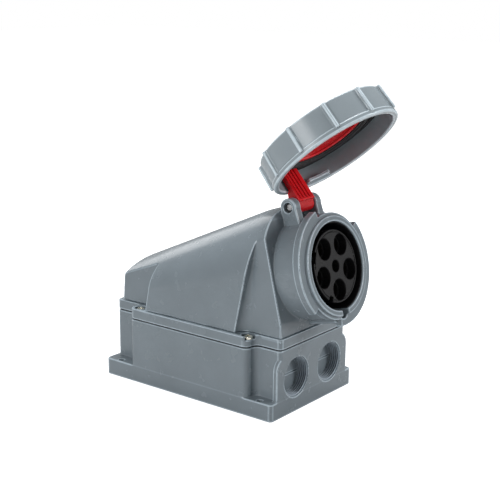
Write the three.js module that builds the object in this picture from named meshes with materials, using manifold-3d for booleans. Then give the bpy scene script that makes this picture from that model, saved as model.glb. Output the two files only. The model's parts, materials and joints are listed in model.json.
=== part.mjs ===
// Surface-mounted five-pole power connector box: a wiring base with two cable
// entries, a sloping hood that carries an angled round barrel, and a hinged
// lid with a bayonet locking ring.
//
// Frame (mm): origin at the centre of the mounting face, +Z up from it, +X
// towards the connector, +Y to the left of someone who faces along +X.
// Everything round the barrel is drawn in the barrel frame: s runs outwards
// along the barrel's axis from its mouth, v runs up across it, y is shared.

import * as THREE from 'three';
import { mergeVertices } from 'three/addons/utils/BufferGeometryUtils.js';
import Module from 'manifold-3d';

const wasm = await Module();
wasm.setup();

// ---------------------------------------------------------------- driving dimensions
const GAP = 0.3;                    // clearance between pieces that touch
const WALL = 4;                     // moulded wall
const ROUND = 44;                   // facets round the barrel and the lid

const BASE = { length: 220, width: 140, corner: 4, footTop: 17.7, top: 67.8, floor: 4 };
const FIXING = { x: 92.5, y: 65, radius: 2.75 };
const OUTLINE = {
  back: -107.5, front: 110, side: 70,           // outer walls of the body
  backNotchX: -74.3, backNotchY: 53, notchR: 5, // back corner recesses
  bendX: 72.7, bendR: 7.2,                      // S-bend into the front recesses
  frontR: 4.5,                                  // front corners
};
const SEAL = { bottom: 68.1, top: 68.9 };
const RIM = { bottom: 69.2, top: 80.2 };
const COVER_SCREW = {
  places: [[75.5, 62], [-66, 62]], boss: 7, pilot: 2.3, pilotDepth: 22, length: 20,
  head: 4.6, sink: 6, sinkDepth: 4, headDepth: 1, slotLength: 6, slotWidth: 1.1, slotDepth: 1,
};
const ENTRY = { y: 28.5, z: 35.7, radius: 20.2, depth: 14, membrane: 2 };
const SLAB = { back: 104, halfWidth: 60.3, shoulder: 46, top: 61.3, topHalf: 46 };

const TILT = 13.6 * Math.PI / 180;  // barrel axis above the horizontal
const MOUTH = { x: 136.2, z: 146.6 };
const HOOD = {
  back: -101, backLean: 0.078, front: 125,
  sideAtRim: 69, halfWidthBack: 67, halfWidthFront: 64,
  ridgeAt: -98, ridge: 122.3, ridgeSlope: 0.448, top: 197.7, power: 2, powerGain: 0.25,
  faceS: -39, backNotchY: 52, backNotchX: -54.6, backNotchLean: 0.12,
  frontNotchX: 62.3, frontNotchLean: 0.18, frontNotchY: 55, frontNotchFold: 75.5,
};
const BARREL = { outer: 51, root: 53, bore: 43, lipOuter: 48.8, lipBack: -3 };
const FLANGE = {
  outer: 58.6, front: -3, back: -11,
  cut: 52, cuts: [{ centre: -17.5, width: 69 }, { centre: 152, width: 44 }],
};
const KEYWAY = { halfWidth: 5.2, reach: 51.5, corner: 4, bulgeHalf: 9.5, bulge: 55, bulgeCorner: 5 };

const HINGE = {
  s: -31.2, v: 63, ear: 9, earOuter: 22, earInner: 12.8,
  pin: 3, head: 4.6, sink: 5, sinkDepth: 2.4,
};
const ARM = {
  halfWidth: 12.4, eye: 7.3, under: 54.5, over: 60.5, heel: 10,
  grooves: 4, grooveHalf: 1, grooveDepth: 1.2,
};
const LID_SWING = 117.5;            // degrees from closed to fully open
const LID_DROP = 2;                 // how far the shut lid's own axis lies below the barrel's

const INSERT = { radius: 35.5, face: -3, flange: 47.8, flangeBack: -48.5, flangeFront: -44.5 };
const NOTCH = { radius: 3.2, depth: 18, at: [68, 152] };
const POLES = { pitch: 23.2, hole: 10.5, step: 8.4, stepS: -12, names: ['earth', 'l1', 'l2', 'l3', 'neutral'] };
const SLEEVE = { outer: 8, bore: 5, earthBore: 6, front: -20, boreEnd: -48, back: -66 };
const CLAMP = { bore: 5.5, depth: 12, at: 5, screwHole: 2.4, screw: 2.1, screwIn: 1.5, screwOut: 3, slot: 0.8 };
const PILOT = { hole: 6, outer: 4.2, step: 4.5, bore: 2.5, boreEnd: -36, tail: 8 };
const INSERT_SCREW = {
  pitch: 45.2, radius: 1.3, hole: 1.6, head: 2.4, headDepth: 2.2, slot: 0.8, at: [45, 135, 225, 315],
};

const RING = { front: -17, back: 13, outerFront: 68.2, outerBack: 66.7, inner: 62.5, lip: 56, lipFront: 10 };
const RIB = { count: 11, first: 14, width: 5, height: 2.3 };
const LUG = { inner: 55.6, front: -14.7, back: -11.5, width: 25, centres: [149.5, -30.5] };
const DISC = {
  front: 4.8, back: 9.7, radius: 61.8, dome: 1.5, domeEdge: 52,
  rim: 40.5, rimWidth: 4, rimStep: 2.6,
};
const GASKET = { inner: 41.5, outer: 52, front: 0.3, back: 4.5 };
const RETAINER = { inner: 57, outer: 63.3, front: 2.5, back: 4.2, gapHalf: 14 };

// ---------------------------------------------------------------- materials
function plastic(color, roughness) {
  return new THREE.MeshStandardMaterial({ color, roughness, metalness: 0 });
}

function metal(color, roughness) {
  return new THREE.MeshStandardMaterial({ color, roughness, metalness: 1 });
}

const housingGrey = plastic(0x7d858c, 0.4);
const ringGrey = plastic(0x8c949a, 0.4);
const lidRed = plastic(0xa0191e, 0.35);
const insertBlack = plastic(0x1c1c1e, 0.6);
const sealBlack = plastic(0x101012, 0.8);
const zinc = metal(0xcfc9a8, 0.3);
const steel = metal(0xb4b6b8, 0.35);
const brass = metal(0xb08d4a, 0.35);

// ---------------------------------------------------------------- solids
function solid(geometry) {
  geometry.deleteAttribute('normal');
  geometry.deleteAttribute('uv');
  const merged = mergeVertices(geometry, 1e-4);
  return new wasm.Manifold(new wasm.Mesh({
    numProp: 3,
    vertProperties: new Float32Array(merged.attributes.position.array),
    triVerts: new Uint32Array(merged.index.array),
  }));
}

function toGeometry(manifold) {
  const data = manifold.getMesh();
  const geometry = new THREE.BufferGeometry();
  geometry.setAttribute('position', new THREE.BufferAttribute(data.vertProperties, 3));
  geometry.setIndex(new THREE.BufferAttribute(data.triVerts, 1));
  geometry.computeVertexNormals();
  return geometry;
}

function piece(name, manifold, material) {
  const mesh = new THREE.Mesh(toGeometry(manifold), material);
  mesh.name = name;
  return mesh;
}

// A flat shape in XY pushed up from z0 to z1.
function prism(shape, z0, z1, curveSegments = 8) {
  const geometry = new THREE.ExtrudeGeometry(shape, { depth: z1 - z0, bevelEnabled: false, curveSegments });
  return solid(geometry.translate(0, 0, z0));
}

// A flat shape in XZ (or in s and v) pushed along Y from y0 to y1.
function slice(shape, y0, y1, curveSegments = 8) {
  const geometry = new THREE.ExtrudeGeometry(shape, { depth: y1 - y0, bevelEnabled: false, curveSegments });
  return solid(geometry.rotateX(Math.PI / 2).translate(0, y1, 0));
}

function box(x0, x1, y0, y1, z0, z1) {
  const geometry = new THREE.BoxGeometry(x1 - x0, y1 - y0, z1 - z0);
  return solid(geometry.translate((x0 + x1) / 2, (y0 + y1) / 2, (z0 + z1) / 2));
}

// A round post along Z.
function postZ(radius, x, y, z0, z1, sides = 16) {
  const geometry = new THREE.CylinderGeometry(radius, radius, z1 - z0, sides).rotateX(Math.PI / 2);
  return solid(geometry.translate(x, y, (z0 + z1) / 2));
}

// A round bar along s (the local X), centred on y and v.
function barS(radius, s0, s1, y = 0, v = 0, sides = 24) {
  const geometry = new THREE.CylinderGeometry(radius, radius, s1 - s0, sides).rotateZ(Math.PI / 2);
  return solid(geometry.translate((s0 + s1) / 2, y, v));
}

function barY(radius, x, z, y0, y1, sides = 16) {
  const geometry = new THREE.CylinderGeometry(radius, radius, y1 - y0, sides);
  return solid(geometry.translate(x, (y0 + y1) / 2, z));
}

// A closed ring of [radius, height] points, wound so that its faces point out.
function closedProfile(profile) {
  const points = profile.map(([radius, height]) => new THREE.Vector2(radius, height));
  if (THREE.ShapeUtils.area(points) < 0) points.reverse();
  points.push(points[0].clone());
  return points;
}

// A profile of [radius, s] points turned about the s axis.
function turned(profile, sides = ROUND) {
  return solid(new THREE.LatheGeometry(closedProfile(profile), sides).rotateZ(-Math.PI / 2));
}

function polygon(points) {
  return new THREE.Shape(points.map(([x, y]) => new THREE.Vector2(x, y)));
}

function warp(geometry, move) {
  const position = geometry.attributes.position;
  const point = new THREE.Vector3();
  for (let i = 0; i < position.count; i += 1) {
    point.fromBufferAttribute(position, i);
    move(point);
    position.setXYZ(i, point.x, point.y, point.z);
  }
  return geometry;
}

// Angle round the barrel from straight up, positive towards -Y, as [y, v].
function around(radius, degrees) {
  const angle = degrees * Math.PI / 180;
  return [-radius * Math.sin(angle), radius * Math.cos(angle)];
}

// A sector of a ring about the s axis, between two radii and two angles.
function ringSector(inner, outer, s0, s1, centre, width) {
  const from = (centre - width / 2) * Math.PI / 180;
  const to = (centre + width / 2) * Math.PI / 180;
  const shape = new THREE.Shape();
  shape.absarc(0, 0, outer, from, to, false);
  shape.absarc(0, 0, inner, to, from, true);
  const geometry = new THREE.ExtrudeGeometry(shape, { depth: s1 - s0, bevelEnabled: false, curveSegments: 8 });
  const turn = new THREE.Matrix4().set(0, 0, 1, s0, 0, -1, 0, 0, 1, 0, 0, 0, 0, 0, 0, 1);
  return solid(geometry.applyMatrix4(turn));
}

// The barrel frame placed in the box frame.
function barrelFrame() {
  const frame = new THREE.Matrix4().makeRotationY(-TILT);
  return frame.setPosition(MOUTH.x, 0, MOUTH.z);
}

function inBoxFrame(manifold) {
  return solid(toGeometry(manifold).applyMatrix4(barrelFrame()));
}

// ---------------------------------------------------------------- base and cover outline
// The plan of the body, drawn inwards by inset; the two sides mirror each other.
function bodyOutline(inset) {
  const o = OUTLINE;
  const sideY = -o.side + inset;
  const notchY = -o.backNotchY + inset;
  const notchX = o.backNotchX + inset;
  const convex = o.notchR - inset;
  const concave = o.notchR + inset;
  const bendY = -o.side + o.bendR;
  const bendOutX = o.bendX + 2 * o.bendR;
  const frontX = o.front - inset;
  const frontY = bendY + o.bendR + inset;
  const frontR = o.frontR - inset;
  const half = new THREE.Path();
  half.moveTo(o.back + inset, notchY);
  half.lineTo(notchX - concave, notchY);
  half.absarc(notchX - concave, notchY - concave, concave, Math.PI / 2, 0, true);
  half.absarc(notchX + convex, sideY + convex, convex, Math.PI, 1.5 * Math.PI, false);
  half.absarc(o.bendX, bendY, o.bendR - inset, -Math.PI / 2, 0, false);
  half.absarc(bendOutX, bendY, o.bendR + inset, Math.PI, Math.PI / 2, true);
  half.absarc(frontX - frontR, frontY + frontR, frontR, -Math.PI / 2, 0, false);
  const near = half.getPoints(3);
  const far = near.map((point) => new THREE.Vector2(point.x, -point.y)).reverse();
  return new THREE.Shape([...near, ...far]);
}

function coverScrewPlaces() {
  return COVER_SCREW.places.flatMap(([x, y]) => [[x, -y], [x, y]]);
}

function screwBosses(z0, z1) {
  const posts = coverScrewPlaces().map(([x, y]) => postZ(COVER_SCREW.boss, x, y, z0, z1));
  return posts.reduce((all, post) => all.add(post));
}

// ---------------------------------------------------------------- base
function footPlate() {
  const { length, width, corner, footTop } = BASE;
  const x = length / 2 - corner;
  const y = width / 2 - corner;
  const shape = new THREE.Shape();
  shape.absarc(x, y, corner, 0, Math.PI / 2, false);
  shape.absarc(-x, y, corner, Math.PI / 2, Math.PI, false);
  shape.absarc(-x, -y, corner, Math.PI, 1.5 * Math.PI, false);
  shape.absarc(x, -y, corner, 1.5 * Math.PI, 2 * Math.PI, false);
  return prism(shape, 0, footTop, 5);
}

// The thick front wall that the two cable entries are bored in.
function entrySlab() {
  const shape = new THREE.Shape();
  shape.moveTo(-SLAB.halfWidth, 0);
  shape.lineTo(SLAB.halfWidth, 0);
  shape.lineTo(SLAB.halfWidth, SLAB.shoulder);
  shape.quadraticCurveTo(SLAB.halfWidth, SLAB.top, SLAB.topHalf, SLAB.top);
  shape.lineTo(-SLAB.topHalf, SLAB.top);
  shape.quadraticCurveTo(-SLAB.halfWidth, SLAB.top, -SLAB.halfWidth, SLAB.shoulder);
  const geometry = new THREE.ExtrudeGeometry(shape, {
    depth: BASE.length / 2 - SLAB.back, bevelEnabled: false, curveSegments: 6,
  });
  const turn = new THREE.Matrix4().set(0, 0, 1, SLAB.back, 1, 0, 0, 0, 0, 1, 0, 0, 0, 0, 0, 1);
  return solid(geometry.applyMatrix4(turn));
}

function baseBox() {
  const inside = ENTRY.depth + ENTRY.membrane;
  const frontWall = BASE.length / 2 - inside;
  let cavity = prism(bodyOutline(WALL), BASE.floor, BASE.top + 1);
  cavity = cavity.subtract(screwBosses(0, BASE.top + 2));
  cavity = cavity.subtract(box(frontWall, BASE.length, -BASE.width, BASE.width, 0, BASE.top - 6));
  let body = footPlate().add(prism(bodyOutline(0), 0, BASE.top)).add(entrySlab());
  body = body.subtract(cavity);
  for (const side of [-1, 1]) {
    const front = BASE.length / 2;
    body = body.subtract(barS(ENTRY.radius, front - ENTRY.depth, front + 1, side * ENTRY.y, ENTRY.z, 48));
    for (const end of [-1, 1]) {
      body = body.subtract(postZ(FIXING.radius, end * FIXING.x, side * FIXING.y, -1, BASE.footTop + 1));
    }
  }
  for (const [x, y] of coverScrewPlaces()) {
    body = body.subtract(postZ(COVER_SCREW.pilot, x, y, BASE.top - COVER_SCREW.pilotDepth, BASE.top + 1, 16));
  }
  return piece('base_box', body, housingGrey);
}

function coverSeal() {
  const outer = prism(bodyOutline(1.2), SEAL.bottom, SEAL.top);
  let inner = prism(bodyOutline(WALL - 0.4), SEAL.bottom - 1, SEAL.top + 1);
  inner = inner.subtract(screwBosses(SEAL.bottom - 2, SEAL.top + 2));
  let ring = outer.subtract(inner);
  for (const [x, y] of coverScrewPlaces()) {
    ring = ring.subtract(postZ(COVER_SCREW.pilot, x, y, SEAL.bottom - 1, SEAL.top + 1, 16));
  }
  return piece('cover_seal', ring, sealBlack);
}

function coverScrew(name, x, y) {
  const { pilot, head, length, sinkDepth, headDepth, slotLength, slotWidth, slotDepth } = COVER_SCREW;
  const seat = RIM.top - sinkDepth;
  const top = RIM.top - headDepth;
  let screw = postZ(head, x, y, seat + GAP, top, 20);
  screw = screw.add(postZ(pilot - GAP, x, y, BASE.top - length, seat + 1, 12));
  for (const turn of [0, Math.PI / 2]) {
    const slot = new THREE.BoxGeometry(slotLength, slotWidth, 2 * slotDepth).rotateZ(turn + Math.PI / 4);
    screw = screw.subtract(solid(slot.translate(x, y, top)));
  }
  return piece(name, screw, zinc);
}

// ---------------------------------------------------------------- hood
// The arch is ruled between its back and front sections: straight sides up
// to the level of the barrel axis, an elliptical roof above it that grows a
// little squarer towards the front.
function archLoft(inset, bottom) {
  const shape = new THREE.Shape();
  shape.moveTo(-1, -1);
  shape.lineTo(1, -1);
  shape.absarc(0, 0, 1, 0, Math.PI, false);
  const geometry = new THREE.ExtrudeGeometry(shape, { depth: 1, steps: 2, bevelEnabled: false, curveSegments: 16 });
  const back = HOOD.back + inset;
  return solid(warp(geometry, (point) => {
    const x = THREE.MathUtils.lerp(back, HOOD.front, point.z);
    const axis = MOUTH.z + (x - MOUTH.x) * Math.tan(TILT);
    const ridge = HOOD.ridge + HOOD.ridgeSlope * (x - HOOD.ridgeAt);
    const half = THREE.MathUtils.lerp(HOOD.halfWidthBack, HOOD.halfWidthFront, point.z) - inset;
    const share = 2 / (HOOD.power + HOOD.powerGain * point.z);
    let width = half;
    let across = Math.sign(point.x) * Math.abs(point.x) ** share;
    let z = axis + Math.max(point.y, 0) ** share * (ridge - axis - inset);
    if (point.y < 0) {
      z = axis + point.y * (axis - bottom);
      const spread = (axis - z) / (axis - RIM.top);
      width = half + spread * (HOOD.sideAtRim - HOOD.halfWidthBack);
      across = point.x;
    }
    const lean = HOOD.backLean * (z - RIM.top) * (1 - point.z);
    point.set(x + lean, across * width, z);
  }));
}

function backNotch(inset, side) {
  const z0 = RIM.top - WALL - 10;
  const z1 = HOOD.top + 10;
  const edge = (z) => HOOD.backNotchX + inset + HOOD.backNotchLean * (z - RIM.top);
  const shape = polygon([[-140, z0], [edge(z0), z0], [edge(z1), z1], [-140, z1]]);
  const inner = HOOD.backNotchY - inset;
  return side < 0 ? slice(shape, -100, -inner) : slice(shape, inner, 100);
}

// The back wall leans forward as it rises, while the fold where its hollow
// curve meets the side wall stays upright, so the curve tightens upwards.
function frontNotch(inset, side) {
  const bend = HOOD.frontNotchFold - HOOD.frontNotchX;
  const wallX = (z) => HOOD.frontNotchX + HOOD.frontNotchLean * (z - RIM.top);
  const y0 = HOOD.frontNotchY - inset;
  const z0 = RIM.top - WALL - 10;
  const foldTop = RIM.top + (bend - 1) / HOOD.frontNotchLean;
  const depth = 2 * (foldTop - z0);
  const shape = new THREE.Shape();
  shape.moveTo(0, 110);
  shape.lineTo(0, bend);
  shape.absarc(bend, bend, bend, Math.PI, 1.5 * Math.PI, false);
  shape.lineTo(100, 0);
  shape.lineTo(100, 110);
  const geometry = new THREE.ExtrudeGeometry(shape, { depth, steps: 2, bevelEnabled: false, curveSegments: 6 });
  geometry.translate(0, 0, z0);
  warp(geometry, (point) => {
    const tight = Math.max(HOOD.frontNotchFold - wallX(point.z), 1) / bend;
    const along = point.x > bend ? point.x - bend + bend * tight : point.x * tight;
    const across = point.y > bend ? point.y : point.y * tight;
    point.set(wallX(point.z) - inset + along, y0 + across, point.z);
  });
  if (side < 0) {
    geometry.rotateZ(Math.PI).scale(-1, 1, 1);
    return solid(flipped(geometry));
  }
  return solid(geometry);
}

// Mirroring turns the faces inside out, so each triangle is wound back.
function flipped(geometry) {
  const position = geometry.attributes.position;
  const a = new THREE.Vector3();
  const b = new THREE.Vector3();
  for (let i = 0; i < position.count; i += 3) {
    a.fromBufferAttribute(position, i + 1);
    b.fromBufferAttribute(position, i + 2);
    position.setXYZ(i + 1, b.x, b.y, b.z);
    position.setXYZ(i + 2, a.x, a.y, a.z);
  }
  return geometry;
}

function hoodSolid(inset, bottom) {
  let hood = archLoft(inset, bottom);
  const behindFace = box(-400, HOOD.faceS - inset, -200, 200, -200, 200);
  hood = hood.intersect(inBoxFrame(behindFace));
  const x = OUTLINE.front - inset;
  hood = hood.intersect(box(-200, x, -200, 200, bottom, HOOD.top - inset));
  for (const side of [-1, 1]) {
    hood = hood.subtract(backNotch(inset, side)).subtract(frontNotch(inset, side));
  }
  return hood;
}

function barrelShell() {
  const { outer, root, bore, lipOuter, lipBack } = BARREL;
  const { outer: flange, front, back } = FLANGE;
  const start = HOOD.faceS - WALL - 0.2;
  return turned([
    [bore - 1, start], [bore - 1, -4], [bore, -1.2], [bore + 1, 0], [lipOuter - 0.8, 0], [lipOuter, -0.8],
    [lipOuter, lipBack], [flange - 0.8, front], [flange, front - 0.8], [flange, back + 0.8],
    [flange - 0.8, back], [outer, back], [outer + 0.5, HOOD.faceS + 3], [root, HOOD.faceS - 0.4], [root, start],
  ]);
}

function flangeCuts() {
  const { outer, front, back, cut, cuts } = FLANGE;
  const wedges = cuts.map(({ centre, width }) => ringSector(cut, outer + 2, back - 1, front + 0.02, centre, width));
  return wedges.reduce((all, wedge) => all.add(wedge));
}

function keywayBulge() {
  const { bulgeHalf, bulge, bulgeCorner: corner } = KEYWAY;
  const shape = new THREE.Shape();
  shape.moveTo(-bulgeHalf, -bulge + corner);
  shape.absarc(-bulgeHalf + corner, -bulge + corner, corner, Math.PI, 1.5 * Math.PI, false);
  shape.absarc(bulgeHalf - corner, -bulge + corner, corner, 1.5 * Math.PI, 2 * Math.PI, false);
  shape.lineTo(bulgeHalf, -BARREL.bore - 2);
  shape.lineTo(-bulgeHalf, -BARREL.bore - 2);
  return alongS(shape, HOOD.faceS - WALL, FLANGE.back);
}

function keywayCut() {
  const { halfWidth, reach, corner } = KEYWAY;
  const shape = new THREE.Shape();
  shape.moveTo(-halfWidth, -reach + corner);
  shape.absarc(-halfWidth + corner, -reach + corner, corner, Math.PI, 1.5 * Math.PI, false);
  shape.absarc(halfWidth - corner, -reach + corner, corner, 1.5 * Math.PI, 2 * Math.PI, false);
  shape.lineTo(halfWidth, -BARREL.bore + 5);
  shape.lineTo(-halfWidth, -BARREL.bore + 5);
  return alongS(shape, HOOD.faceS + 2, 5);
}

// A flat shape in y and v pushed along s.
function alongS(shape, s0, s1) {
  const geometry = new THREE.ExtrudeGeometry(shape, { depth: s1 - s0, bevelEnabled: false, curveSegments: 5 });
  const turn = new THREE.Matrix4().set(0, 0, 1, s0, 1, 0, 0, 0, 0, 1, 0, 0, 0, 0, 0, 1);
  return solid(geometry.applyMatrix4(turn));
}

// One hinge ear: an eye round the pin on a web that stands on the barrel.
function hingeEar(side) {
  const { s, v, ear, earOuter, earInner, pin, sink, sinkDepth } = HINGE;
  const foot = BARREL.outer * 0.9;
  const shape = new THREE.Shape();
  shape.moveTo(s - ear + 0.6, foot);
  shape.lineTo(s + ear + 2, foot);
  shape.lineTo(s + ear, v);
  shape.absarc(s, v, ear, 0, Math.PI, false);
  const inner = side * earInner;
  const outer = side * earOuter;
  let body = slice(shape, Math.min(inner, outer), Math.max(inner, outer), 16);
  const through = barY(pin + GAP, s, v, -earOuter - 1, earOuter + 1);
  const sinkEnds = [outer - side * sinkDepth, outer + side];
  const counterbore = barY(sink, s, v, Math.min(...sinkEnds), Math.max(...sinkEnds));
  body = body.subtract(through).subtract(counterbore);
  return body;
}

function coverHood() {
  let shell = prism(bodyOutline(0), RIM.bottom, RIM.top).add(hoodSolid(0, RIM.top - 1));
  let outside = barrelShell().add(keywayBulge());
  outside = outside.add(hingeEar(-1)).add(hingeEar(1));
  shell = shell.add(inBoxFrame(outside));
  let inner = prism(bodyOutline(WALL), RIM.bottom - 1, RIM.top - WALL);
  inner = inner.subtract(screwBosses(RIM.bottom - 2, RIM.top));
  inner = inner.add(hoodSolid(WALL, RIM.top - WALL - 1));
  shell = shell.subtract(inner);
  let holes = barS(BARREL.bore, HOOD.faceS - 30, -3, 0, 0, ROUND).add(keywayCut()).add(flangeCuts());
  for (const degrees of INSERT_SCREW.at) {
    const [y, v] = around(INSERT_SCREW.pitch, degrees);
    holes = holes.add(barS(INSERT_SCREW.hole, HOOD.faceS - WALL - 1, HOOD.faceS + 8, y, v, 12));
  }
  shell = shell.subtract(inBoxFrame(holes));
  for (const [x, y] of coverScrewPlaces()) {
    shell = shell.subtract(postZ(COVER_SCREW.pilot, x, y, RIM.bottom - 1, RIM.top + 1, 16));
    shell = shell.subtract(postZ(COVER_SCREW.sink, x, y, RIM.top - COVER_SCREW.sinkDepth, RIM.top + 1));
  }
  return piece('cover_hood', shell, housingGrey);
}

// ---------------------------------------------------------------- contact insert
// The earth contact is lowest and the others follow it clockwise from the front.
function poleAngles() {
  return POLES.names.map((name, index) => 180 - index * 72);
}

function contactInsert() {
  const { radius, face, flange, flangeBack, flangeFront } = INSERT;
  let body = turned([
    [1, flangeBack], [1, face], [radius - 0.8, face], [radius, face - 0.8],
    [radius, flangeFront], [flange, flangeFront], [flange, flangeBack],
  ]);
  body = body.add(barS(3, flangeBack, face, 0, 0, 24));
  for (const degrees of poleAngles()) {
    const [y, v] = around(POLES.pitch, degrees);
    body = body.subtract(barS(POLES.hole, POLES.stepS, face + 1, y, v, 24));
    body = body.subtract(barS(POLES.step, flangeBack - 1, POLES.stepS + 1, y, v, 20));
  }
  body = body.subtract(barS(PILOT.hole, POLES.stepS, face + 1, 0, 0, 20));
  body = body.subtract(barS(PILOT.step, flangeBack - 1, POLES.stepS + 1, 0, 0, 20));
  for (const degrees of INSERT_SCREW.at) {
    const [y, v] = around(INSERT_SCREW.pitch, degrees);
    body = body.subtract(barS(INSERT_SCREW.hole, flangeBack - 1, flangeFront + 1, y, v, 12));
  }
  for (const degrees of NOTCH.at) {
    const [y, v] = around(radius + 0.6, degrees);
    body = body.subtract(barS(NOTCH.radius, face - NOTCH.depth, face + 1, y, v, 20));
  }
  return piece('contact_insert', body, insertBlack);
}

function insertSeal() {
  const front = HOOD.faceS - WALL - GAP;
  const back = INSERT.flangeFront + GAP;
  const inner = BARREL.bore + 0.6;
  const outer = INSERT.flange - 0.4;
  let ring = turned([[inner, back], [inner, front], [outer, front], [outer, back]]);
  for (const degrees of INSERT_SCREW.at) {
    const [y, v] = around(INSERT_SCREW.pitch, degrees);
    ring = ring.subtract(barS(INSERT_SCREW.hole + 0.3, back - 1, front + 1, y, v, 12));
  }
  return piece('insert_seal', ring, sealBlack);
}

// A socket contact: sprung sleeve in front, cable clamp at the back.
function contactSleeve(name, degrees, bore) {
  const [y, v] = around(POLES.pitch, degrees);
  const { outer, front, boreEnd, back } = SLEEVE;
  let sleeve = barS(outer, back, front, y, v, 20);
  sleeve = sleeve.subtract(barS(bore, boreEnd, front + 1, y, v, 16));
  sleeve = sleeve.subtract(barS(CLAMP.bore, back - 1, back + CLAMP.depth, y, v, 16));
  const screwHole = barS(CLAMP.screwHole, 0, outer * 2, 0, 0, 12);
  sleeve = sleeve.subtract(placeRadial(screwHole, y, v, back + CLAMP.at, degrees));
  return piece(name, sleeve, brass);
}

function terminalScrew(name, degrees) {
  const [y, v] = around(POLES.pitch, degrees);
  const top = SLEEVE.outer + CLAMP.screwOut;
  let screw = barS(CLAMP.screw, CLAMP.screwIn, top, 0, 0, 12);
  screw = screw.subtract(box(top - 1.2, top + 1, -3, 3, -CLAMP.slot / 2, CLAMP.slot / 2));
  return piece(name, placeRadial(screw, y, v, SLEEVE.back + CLAMP.at, degrees), steel);
}

// Turns a bar drawn along +X so that it points away from the barrel axis.
function placeRadial(manifold, y, v, s, degrees) {
  const angle = degrees * Math.PI / 180;
  const outY = -Math.sin(angle);
  const outV = Math.cos(angle);
  const turn = new THREE.Matrix4().set(0, 0, 1, s, outY, -outV, 0, y, outV, outY, 0, v, 0, 0, 0, 1);
  return solid(toGeometry(manifold).applyMatrix4(turn));
}

function pilotContact() {
  let sleeve = barS(PILOT.outer, INSERT.flangeBack - PILOT.tail, POLES.stepS - 1, 0, 0, 20);
  sleeve = sleeve.subtract(barS(PILOT.bore, PILOT.boreEnd, 0, 0, 0, 16));
  return piece('pilot_contact', sleeve, brass);
}

function insertScrew(name, degrees) {
  const [y, v] = around(INSERT_SCREW.pitch, degrees);
  const seat = INSERT.flangeBack - GAP;
  const { head, headDepth, radius, slot } = INSERT_SCREW;
  let screw = barS(head, seat - headDepth, seat, y, v, 16);
  screw = screw.add(barS(radius, seat - 1, HOOD.faceS + 7, y, v, 12));
  screw = screw.subtract(box(seat - 3, seat - 1.4, y - 4, y + 4, v - slot / 2, v + slot / 2));
  return piece(name, screw, steel);
}

// ---------------------------------------------------------------- hinge
function hingePin() {
  const { s, v, earOuter, pin, head, sinkDepth } = HINGE;
  let body = barY(pin, s, v, -earOuter + 1.2, earOuter - 0.6);
  body = body.add(barY(head, s, v, -earOuter + 0.7, -earOuter + sinkDepth - GAP));
  body = body.subtract(box(s - 5, s + 5, -earOuter, -earOuter + 1.5, v - 0.6, v + 0.6));
  body = body.subtract(turnedAboutY([[2.5, 0.8], [2.5, 1.6], [4, 1.6], [4, 0.8]], earOuter - 2.9));
  return piece('hinge_pin', body, steel);
}

function turnedAboutY(profile, y) {
  const geometry = new THREE.LatheGeometry(closedProfile(profile), 16);
  return solid(geometry.translate(HINGE.s, y, HINGE.v));
}

function pinClip() {
  const thick = 0.5;
  let ring = turnedAboutY([[2.8, 0], [2.8, thick], [4.6, thick], [4.6, 0]], HINGE.earOuter - 1.95);
  ring = ring.subtract(box(HINGE.s, HINGE.s + 6, 0, 40, HINGE.v - 1.6, HINGE.v + 1.6));
  return piece('pin_clip', ring, steel);
}

// ---------------------------------------------------------------- lid
// The lid is drawn closed, in the barrel frame but about its own axis.
function lidArm() {
  const { eye, under, over, halfWidth, grooves, grooveHalf, grooveDepth, heel } = ARM;
  const { s, pin } = HINGE;
  const v = HINGE.v + LID_DROP;
  const shape = new THREE.Shape();
  shape.moveTo(DISC.back, under - 3);
  shape.lineTo(DISC.back, over - 2);
  shape.quadraticCurveTo(DISC.back, over, DISC.back - 3, over);
  shape.lineTo(s + 15, over);
  shape.quadraticCurveTo(s + 9, over, s + 6, v + 4.2);
  shape.absarc(s, v, eye, 0.61, 1.5 * Math.PI, false);
  shape.quadraticCurveTo(s + 6, under, s + heel, under);
  shape.lineTo(DISC.front - 2.5, under);
  shape.quadraticCurveTo(DISC.front, under, DISC.front, under - 3);
  let arm = slice(shape, -halfWidth, halfWidth, 14);
  const pitch = 2 * halfWidth / (grooves + 1);
  for (let i = 1; i <= grooves; i += 1) {
    const y = -halfWidth + i * pitch;
    const groove = box(s + heel - 2, DISC.front - 4, y - grooveHalf, y + grooveHalf, under - 1, under + grooveDepth);
    arm = arm.subtract(groove);
  }
  return arm.subtract(barY(pin + GAP, s, v, -halfWidth - 1, halfWidth + 1));
}

function lidPlate() {
  const { front, back, radius, rim, rimWidth, rimStep, dome, domeEdge } = DISC;
  const corner = 0.6;
  let plate = turned([
    [1, front - 1], [1, back + dome], [rim, back + dome], [domeEdge, back],
    [radius - corner, back], [radius, back - corner], [radius, front], [rim, front],
    [rim, front - rimStep], [rim - rimWidth + 1.5, front - rimStep], [rim - rimWidth, front - 1],
  ]);
  plate = plate.add(barS(2, front - 1, back + dome, 0, 0, 24));
  plate = plate.add(lidArm());
  return piece('lid_plate', plate, lidRed);
}

function lidGasket() {
  const { inner, outer, front, back } = GASKET;
  const ring = turned([[inner, back], [inner + 1, front], [outer - 1, front], [outer, back]]);
  return piece('lid_gasket', ring, sealBlack);
}

function ringRetainer() {
  const { inner, outer, front, back, gapHalf } = RETAINER;
  let ring = turned([[inner, front], [inner, back], [outer, back], [outer, front]]);
  ring = ring.subtract(box(front - 1, back + 1, -gapHalf, gapHalf, 30, 80));
  return piece('ring_retainer', ring, sealBlack);
}

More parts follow.
